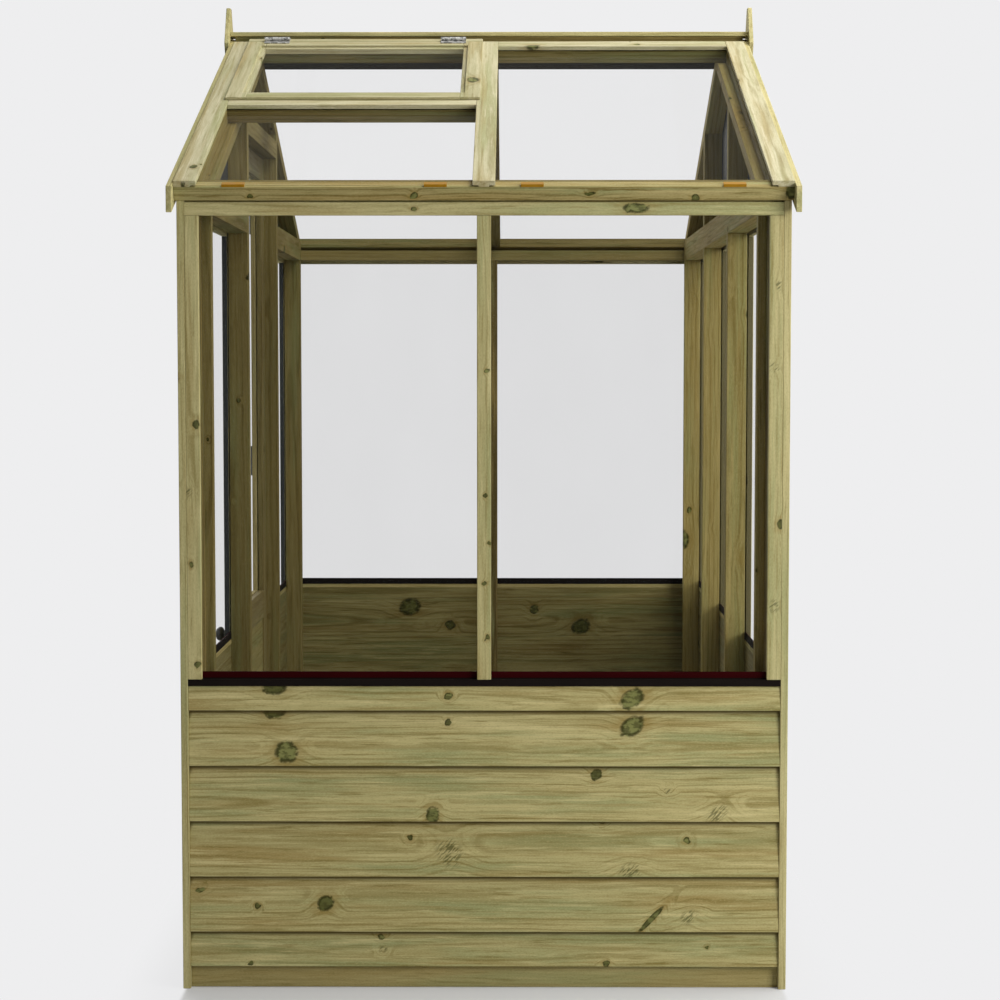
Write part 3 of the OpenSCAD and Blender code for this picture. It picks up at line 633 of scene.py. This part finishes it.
def seal_finish():
    """Black strip whose upstand is maroon on its outer side."""
    seal = Finish("black_and_maroon_seal")
    x, y, z = seal.place()
    scuff = seal.noise(seal.vector(x * 14, y * 14, z * 60), detail=3)
    deep_x, deep_y = room_faces()
    outside = seal.beyond(deep_x + 0.001, deep_y + 0.001, 0.001)
    foot = min(corner.z for corner in corners_of("end_gable_covers"))
    upstand = seal.step(z, foot + 0.0015, foot + 0.0035) * outside
    black = seal.mix(scuff, tint(20, 16, 14), tint(29, 24, 21))
    maroon = seal.mix(scuff, tint(40, 4, 5), tint(56, 7, 9))
    return seal.close(
        Base_Color=seal.mix(upstand, black, maroon),
        Roughness=seal.step(scuff, 0.2, 0.8, 0.5, 0.7),
        Specular_IOR_Level=0.02,
        Normal=seal.bump(scuff, 0.2, 0.0004))


def liner_finish():
    """Charcoal sheet with a fine tooth."""
    sheet = Finish("charcoal_liner")
    x, y, z = sheet.place()
    tooth = sheet.noise(sheet.vector(x, y * 900, z * 900), detail=2)
    cloud = sheet.noise(sheet.vector(x, y * 6, z * 6), detail=3)
    return sheet.close(
        Base_Color=sheet.mix(cloud, tint(27, 26, 21), tint(40, 39, 32)),
        Roughness=sheet.step(cloud, 0.2, 0.8, 0.75, 0.9),
        Normal=sheet.bump(tooth, 0.08, 0.0002))


def zinc_finish():
    """Galvanised steel with the crystals of its coating."""
    zinc = Finish("galvanised_steel")
    x, y, z = zinc.place()
    flake = zinc.add("ShaderNodeTexVoronoi", None, {
        "Vector": zinc.vector(x, y, z), "Scale": 190})
    shade, _, _ = zinc.parts(Signal(zinc, flake.outputs["Color"]))
    cloud = zinc.noise(zinc.vector(x * 60, y * 60, z * 60), detail=3)
    return zinc.close(
        Base_Color=zinc.mix(zinc.step(shade * 0.8 + cloud * 0.2, 0.2, 0.75),
                            tint(104, 104, 101), tint(186, 185, 180)),
        Metallic=0.35,
        Roughness=zinc.step(shade, 0.0, 1.0, 0.34, 0.55),
        Normal=zinc.bump(cloud, 0.15, 0.0003))


def black_metal_finish():
    """Satin black coating, a little paler where it has worn."""
    coat = Finish("black_coated_metal")
    x, y, z = coat.place()
    wear = coat.noise(coat.vector(x * 90, y * 90, z * 90), detail=4, rough=0.6)
    return coat.close(
        Base_Color=coat.mix(wear, tint(38, 38, 37), tint(66, 65, 62)),
        Roughness=coat.step(wear, 0.3, 0.8, 0.34, 0.5),
        Normal=coat.bump(wear, 0.12, 0.0003))


def stop_finish():
    """Moulded orange plastic."""
    stop = Finish("orange_plastic")
    x, y, z = stop.place()
    cloud = stop.noise(stop.vector(x * 120, y * 120, z * 120), detail=3)
    return stop.close(
        Base_Color=stop.mix(cloud, tint(146, 102, 10), tint(166, 121, 20)),
        Specular_IOR_Level=0.12,
        Roughness=stop.step(cloud, 0.2, 0.8, 0.35, 0.5),
        Normal=stop.bump(cloud, 0.08, 0.0003))


# Timber


def own_axes(points):
    """The run, width and thickness directions of one timber, and its middle."""
    run, rise = math.cos(ROOF_PITCH), math.sin(ROOF_PITCH)
    x, y, z = Vector((1, 0, 0)), Vector((0, 1, 0)), Vector((0, 0, 1))
    frames = [(x, y, z)]
    for side in (1, -1):
        frames.append((x, Vector((0, side * run, rise)), Vector((0, -side * rise, run))))

    def spans(axes):
        found = []
        for axis in axes:
            reach = [point.dot(axis) for point in points]
            found.append((max(reach) - min(reach), (max(reach) + min(reach)) / 2, axis))
        return found

    def bulk(found):
        return found[0][0] * found[1][0] * found[2][0]

    best = min((spans(axes) for axes in frames), key=bulk)
    best.sort(key=lambda span: -span[0])
    return best


def timber_islands(shape):
    """The separate timbers in a mesh, each as a list of its vertices."""
    seen = set()
    for start in shape.verts:
        if start in seen:
            continue
        seen.add(start)
        island, edge = [], [start]
        while edge:
            vert = edge.pop()
            island.append(vert)
            for link in vert.link_edges:
                other = link.other_vert(vert)
                if other not in seen:
                    seen.add(other)
                    edge.append(other)
        yield island


def ease_timber(node, finish, arris):
    """A copy of a node's timbers with eased corners and the grain along each one."""
    source = frame["nodes"][node]
    shape = bmesh.new()
    shape.from_mesh(source.data)
    bmesh.ops.remove_doubles(shape, verts=shape.verts, dist=WELD)
    bmesh.ops.dissolve_limit(shape, angle_limit=FLAT, verts=shape.verts, edges=shape.edges)
    corners = [edge for edge in shape.edges
               if len(edge.link_faces) == 2 and edge.calc_face_angle() > CREASE]
    bmesh.ops.bevel(shape, geom=corners, offset=arris, offset_type="OFFSET", segments=2,
                    profile=0.5, affect="EDGES", clamp_overlap=True, material=-1)

    # Each timber gets its own place in the figure, its own shade and its row
    grain = shape.verts.layers.float_vector.new("grain")
    board = shape.verts.layers.float.new("board")
    row = shape.verts.layers.float.new("row")
    luck = random.Random(f"{node} {bpy.context.scene.greenhouse.timber.seed}")
    islands = sorted(timber_islands(shape), key=lambda island: min(vert.co.z for vert in island))
    for rank, island in enumerate(islands):
        spans = own_axes([vert.co for vert in island])
        offset = Vector((luck.uniform(1, 60), luck.uniform(-0.03, 0.03),
                         luck.uniform(0.02, 0.07)))
        number = luck.random()
        for vert in island:
            along = [vert.co.dot(axis) - middle for _, middle, axis in spans]
            vert[grain] = Vector(along) + offset
            vert[board] = number
            vert[row] = rank
    # The side faces of a gable's uprights look to the front or the back, and some finishes give
    # them painted shade
    side = shape.faces.layers.float.new("side")
    for face in shape.faces:
        face[side] = float(abs(face.normal.y) > 0.95)

    mesh = bpy.data.meshes.new(f"{node}_timber")
    shape.to_mesh(mesh)
    shape.free()
    mesh.materials.append(finish)

    piece = bpy.data.objects.new(f"{node}_timber", mesh)
    bpy.context.scene.collection.objects.link(piece)
    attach(piece, body_of(node))
    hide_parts(node)
    slot_of(node)
    return piece


def corners_of(node):
    return [vert.co for vert in frame["nodes"][node].data.vertices]


def room_faces():
    """How far the outer faces of the framing stand from the middle, in X and in Y."""
    return (max(abs(corner.x) for corner in corners_of("end_gable_posts")),
            max(abs(corner.y) for corner in corners_of("front_bottom_rail")))


def board_laps(node):
    """The heights of the lower edges of the boards of a wall."""
    shape = bmesh.new()
    shape.from_mesh(frame["nodes"][node].data)
    bmesh.ops.remove_doubles(shape, verts=shape.verts, dist=WELD)
    laps = sorted({round(min(vert.co.z for vert in island), 4) for island in timber_islands(shape)})
    shape.free()
    return laps


def body_of(node):
    """The body that a node moves with."""
    for body, nodes in frame["record"]["behaviour"]["bodies"].items():
        if node in nodes:
            return body
    raise RuntimeError(f"{node} is in no body")


def slot_of(node):
    """The record's material slot of a node."""
    for part in frame["record"]["subparts"]:
        if part["node"] == node:
            return part["material_slot"]
    raise RuntimeError(f"{node} has no material slot")


def paint(node, finish):
    """Gives a CAD node its finish."""
    slots = frame["nodes"][node].material_slots
    if not slots:
        raise RuntimeError(f"{node} has no material slot to paint")
    for slot in slots:
        slot.material = finish


def ease_all(nodes, finish):
    arris = bpy.context.scene.greenhouse.timber.arris
    for node in nodes:
        ease_timber(node, finish, arris)


# Operators, one for each group of pieces


class GREENHOUSE_OT_walls(bpy.types.Operator):
    """Dress the framing, boards and covers of the front and back walls"""

    bl_idname = "greenhouse.walls"
    bl_label = "Front and back walls"

    def execute(self, context):
        timber = context.scene.greenhouse.timber
        boards = timber_finish(
            "lapped_boards", timber.board, 0.018, inside=0.5, gloss=0.12, figure=1.55,
            placed=FRONT_KNOTS, swirls=FRONT_SWIRLS, laps=board_laps("front_cladding"))
        far_boards = timber_finish(
            "far_boards", timber.board, 0.020, inside=0.46, gloss=0.05, figure=1.9,
            placed=FAR_KNOTS, laps=board_laps("back_cladding"))
        covers = timber_finish("planed_covers", timber.cover, 0.008, figure=1.2,
                               placed=COVER_KNOTS, swirls=COVER_SWIRLS)
        framing = timber_finish("wall_framing", timber.inner, 0.009, inside=0.6, gloss=0.1)
        shaded = timber_finish("posts_in_shade", deeper(timber.inner, 0.33, 0.30, 0.24), 0.010,
                               gloss=0.05, figure=1.3)
        ease_all(["front_cladding"], boards)
        ease_all(["back_cladding"], far_boards)
        ease_all(["front_covers", "back_covers"], covers)
        ease_all([f"{side}_{piece}" for side in ("front", "back")
                  for piece in ("bottom_rail", "sill_rail", "top_plate")], framing)
        ease_all(["front_posts", "back_posts"], shaded)
        return {"FINISHED"}


class GREENHOUSE_OT_gables(bpy.types.Operator):
    """Dress the framing, boards and covers of both gables"""

    bl_idname = "greenhouse.gables"
    bl_label = "Gables"

    def execute(self, context):
        timber = context.scene.greenhouse.timber
        # Painted shade for the side faces of the covers: brown on the end gable, and grey on the
        # door gable, where it also stands for the reflection in the glass in front of them
        brown = tint(84, 77, 48), tint(112, 104, 70)
        charcoal = tint(40, 42, 43), tint(66, 68, 68)
        boards = timber_finish("gable_boards", timber.board, 0.018, inside=0.4, gloss=0.12,
                               figure=1.3, laps=board_laps("end_gable_cladding"))
        framing = {
            "door_gable": timber_finish("door_gable_framing", timber.inner, 0.012, cell=0.1,
                                        inside=0.52, gloss=0.05, figure=1.4),
            "end_gable": timber_finish("end_framing", timber.inner, 0.016, cell=0.1,
                                       inside=0.90, gloss=0.08, figure=1.3),
        }
        covers = {
            "door_gable": timber_finish("door_gable_covers", timber.cover, 0.010, cell=0.1,
                                        figure=1.2, painted_side_shade=charcoal),
            "end_gable": timber_finish("end_covers", timber.cover, 0.010, cell=0.1, inside=0.5,
                                       skin=0.004, figure=1.2, painted_side_shade=brown),
        }
        for gable, wood in framing.items():
            ease_all([f"{gable}_cladding", f"{gable}_apex_boards"], boards)
            ease_all([f"{gable}_covers"], covers[gable])
            ease_all([f"{gable}_posts", f"{gable}_rails", f"{gable}_chords"], wood)
        ease_all(["door_header"], framing["door_gable"])
        return {"FINISHED"}


class GREENHOUSE_OT_trims(bpy.types.Operator):
    """Dress the corner strips, bargeboards, finials and ridge"""

    bl_idname = "greenhouse.trims"
    bl_label = "Trims and ridge"

    def execute(self, context):
        timber = context.scene.greenhouse.timber
        trim = timber_finish("trim_timber", timber.cover, 0.008, cell=0.1, figure=1.1)
        # The ridge timber is darker as painted shade, for the shade under the cap and inside the
        # roof
        ridge = timber_finish("ridge_timber", deeper(timber.inner, 0.62, 0.59, 0.50), 0.009,
                              cell=0.1, gloss=0.08, figure=1.4)
        ease_all(["corner_strips", "bargeboards", "finials", "ridge_cap"], trim)
        ease_all(["ridge_board"], ridge)
        return {"FINISHED"}


class GREENHOUSE_OT_roof(bpy.types.Operator):
    """Dress the rails, rafters and covers of both slopes"""

    bl_idname = "greenhouse.roof"
    bl_label = "Roof"

    def execute(self, context):
        timber = context.scene.greenhouse.timber
        eave = deeper(timber.inner, 0.90, 0.90, 0.88)
        covers = timber_finish("roof_covers", timber.slope, 0.012, cell=0.1, figure=1.15)
        framing = timber_finish("roof_framing", timber.inner, 0.012, cell=0.1, inside=0.5,
                                gloss=0.08, figure=1.5)
        eaves = timber_finish("eave_timber", eave, 0.010, inside=0.5, gloss=0.1, figure=1.8,
                              placed=EAVE_KNOTS)
        # The far eave rails get painted shade above 1.95 m, under the ridge
        far_eaves = timber_finish("far_eave_timber", eave, 0.010, inside=0.5, gloss=0.1,
                                  figure=1.8, painted_shade_above=(1.95, 0.12))
        ease_all(["front_roof_rails"], eaves)
        ease_all(["back_roof_rails"], far_eaves)
        for side in ("front", "back"):
            ease_all([f"{side}_roof_covers"], covers)
            ease_all([f"{side}_roof_rafters"], framing)
        return {"FINISHED"}


class GREENHOUSE_OT_vent(bpy.types.Operator):
    """Dress the vent and its hinge strip"""

    bl_idname = "greenhouse.vent"
    bl_label = "Vent"

    def execute(self, context):
        timber = context.scene.greenhouse.timber
        sash = timber_finish("sash_timber", deeper(timber.slope, 0.91, 0.91, 0.86), 0.011,
                             cell=0.1, figure=1.15)
        ease_all(["vent_sash", "vent_hinge_strip"], sash)
        return {"FINISHED"}


class GREENHOUSE_OT_door(bpy.types.Operator):
    """Dress the frame and the boards of the door"""

    bl_idname = "greenhouse.door"
    bl_label = "Door"

    def execute(self, context):
        timber = context.scene.greenhouse.timber
        door = timber_finish("door_timber", timber.inner, 0.011, inside=0.48, figure=1.3)
        boards = timber_finish("door_boards", timber.board, 0.014, inside=0.6, gloss=0.12,
                               figure=1.2)
        ease_all(["door_frame"], door)
        ease_all(["door_boards"], boards)
        return {"FINISHED"}


class GREENHOUSE_OT_glazing(bpy.types.Operator):
    """Give the panes, the seals and the liners their finishes"""

    bl_idname = "greenhouse.glazing"
    bl_label = "Glass, seals and liners"

    def execute(self, context):
        glass = context.scene.greenhouse.glass
        wall_glass = glass_finish("wall_glass", glass.wall_veil)
        roof_glass = glass_finish("roof_glass", glass.roof_veil)
        seal, liner = seal_finish(), liner_finish()
        for node in frame["nodes"]:
            if node.endswith(("roof_panes", "vent_pane")):
                paint(node, roof_glass)
            elif node.endswith(("panes", "pane")):
                paint(node, wall_glass)
            elif "flashing" in node:
                paint(node, seal)
            elif node.endswith("infill"):
                paint(node, liner)
        return {"FINISHED"}


class GREENHOUSE_OT_fittings(bpy.types.Operator):
    """Give the hinges, knob, button and glass stops their finishes"""

    bl_idname = "greenhouse.fittings"
    bl_label = "Hinges and fittings"

    def execute(self, context):
        zinc, black, stop = zinc_finish(), black_metal_finish(), stop_finish()
        for node in ("vent_hinge_fixed", "vent_hinge_moving"):
            paint(node, zinc)
        for node in ("door_hinge_fixed", "door_hinge_moving", "door_knob", "door_turn_button"):
            paint(node, black)
        paint("glass_stops", stop)
        return {"FINISHED"}


class GREENHOUSE_OT_studio(bpy.types.Operator):
    """Set up the floor, the lamps and the camera"""

    bl_idname = "greenhouse.studio"
    bl_label = "Studio"

    def execute(self, context):
        studio = context.scene.greenhouse.studio
        scene = context.scene
        scene.view_settings.view_transform = "Standard"
        self.backdrop(scene, studio)
        self.floor(scene, studio)
        self.lamps(scene, studio)
        self.camera(scene, studio)
        return {"FINISHED"}

    def backdrop(self, scene, studio):
        """A plain light from all round, and the backdrop for rays that are seen."""
        world = bpy.data.worlds.new("studio_world")
        scene.world = world
        sky = Nodes(world)
        light = sky.signal("ShaderNodeBackground", None, {
            "Color": (1, 1, 1, 1), "Strength": studio.sky})
        plain = sky.signal("ShaderNodeBackground", None, {"Color": (*studio.backdrop, 1)})
        seen = sky.rays("Camera", "Glossy", "Transmission")
        shown = sky.signal("ShaderNodeMixShader", None, {0: seen, 1: light, 2: plain})
        sky.add("ShaderNodeOutputWorld", None, {"Surface": shown})

    def floor(self, scene, studio):
        """A pale floor whose shadows fade out away from the foot of the house."""
        shape = bmesh.new()
        bmesh.ops.create_grid(shape, x_segments=1, y_segments=1, size=30)
        mesh = bpy.data.meshes.new("studio_floor")
        shape.to_mesh(mesh)
        shape.free()

        # The shadow is kept longest in front, where the photo shows it
        pale = Finish("studio_floor")
        x, y, _ = pale.place()
        half_x, half_y = room_faces()
        aside = pale.most(pale.size(x) - half_x, 0) * 6
        ahead = pale.most(-half_y - y, 0) * 0.3
        behind = pale.most(y - half_y, 0) * 1.4
        away = (aside ** 2 + (ahead + behind) ** 2) ** 0.5
        cover = pale.step(away, 0.02, 0.09, 0.08, 0.90) + pale.step(away, 0.09, 1.0, 0.0, 0.10)
        matt = pale.signal("ShaderNodeBsdfDiffuse", None, {"Color": (0.68, 0.68, 0.68, 1)})
        plain = pale.signal("ShaderNodeEmission", None, {
            "Color": (*studio.backdrop, 1), "Strength": 1.0})
        mesh.materials.append(pale.finish(pale.signal("ShaderNodeMixShader", None, {
            0: pale.rays("Camera") * cover, 1: matt, 2: plain})))

        floor = bpy.data.objects.new("studio_floor", mesh)
        scene.collection.objects.link(floor)
        floor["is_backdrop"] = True

    def lamps(self, scene, studio):
        def lamp(name, power, size, at, aim):
            light = bpy.data.lights.new(name, "AREA")
            light.shape = "SQUARE"
            light.size = size
            light.energy = power
            rig = bpy.data.objects.new(name, light)
            rig.location = at
            rig.rotation_euler = (Vector(aim) - Vector(at)).to_track_quat("-Z", "Y").to_euler()
            scene.collection.objects.link(rig)

        lamp("key_lamp", studio.key, 1.6, (2.87, -3.18, 1.9), (0, -0.8, 0.9))
        lamp("rear_lamp", studio.rear, 2.4, (-2.7, 3.7, 2.3), (0, 0, 0.9))
        lamp("top_lamp", studio.top, 2.6, (1.5, -0.9, 4.7), (0, 0, 1.4))

    def camera(self, scene, studio):
        lens = bpy.data.cameras.new("photo_camera")
        lens.sensor_width = 36
        lens.lens = studio.lens
        lens.clip_end = 200
        rig = bpy.data.objects.new("photo_camera", lens)
        rig.location = studio.camera_at
        rig.rotation_euler = Euler((math.pi / 2 - studio.tilt, 0, studio.turn))
        scene.collection.objects.link(rig)
        scene.camera = rig


class GREENHOUSE_PT_panel(bpy.types.Panel):
    """Lists the steps that build the greenhouse"""

    bl_idname = "GREENHOUSE_PT_panel"
    bl_label = "Greenhouse"
    bl_space_type = "VIEW_3D"
    bl_region_type = "UI"
    bl_category = "Greenhouse"

    def draw(self, context):
        layout = self.layout
        settings = context.scene.greenhouse
        for group in (settings.timber, settings.glass, settings.studio):
            box = layout.box()
            for name in group.bl_rna.properties.keys():
                if name not in ("rna_type", "name"):
                    box.prop(group, name)
        for step in STEPS:
            layout.operator(step.bl_idname)


STEPS = (
    GREENHOUSE_OT_walls,
    GREENHOUSE_OT_gables,
    GREENHOUSE_OT_trims,
    GREENHOUSE_OT_roof,
    GREENHOUSE_OT_vent,
    GREENHOUSE_OT_door,
    GREENHOUSE_OT_glazing,
    GREENHOUSE_OT_fittings,
    GREENHOUSE_OT_studio,
)
CLASSES = (TimberSettings, GlassSettings, StudioSettings, GreenhouseSettings,
           *STEPS, GREENHOUSE_PT_panel)


def register():
    for item in CLASSES:
        bpy.utils.register_class(item)
    bpy.types.Scene.greenhouse = PointerProperty(type=GreenhouseSettings)


def unregister():
    del bpy.types.Scene.greenhouse
    for item in reversed(CLASSES):
        bpy.utils.unregister_class(item)


def main():
    register()
    for step in STEPS:
        group, name = step.bl_idname.split(".")
        getattr(getattr(bpy.ops, group), name)()
    boxes = {"cad": CAD_BOX, "visual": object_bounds()}
    {name: [list(corner) for corner in box] for name, box in boxes.items()}


if __name__ == "__main__":
    main()
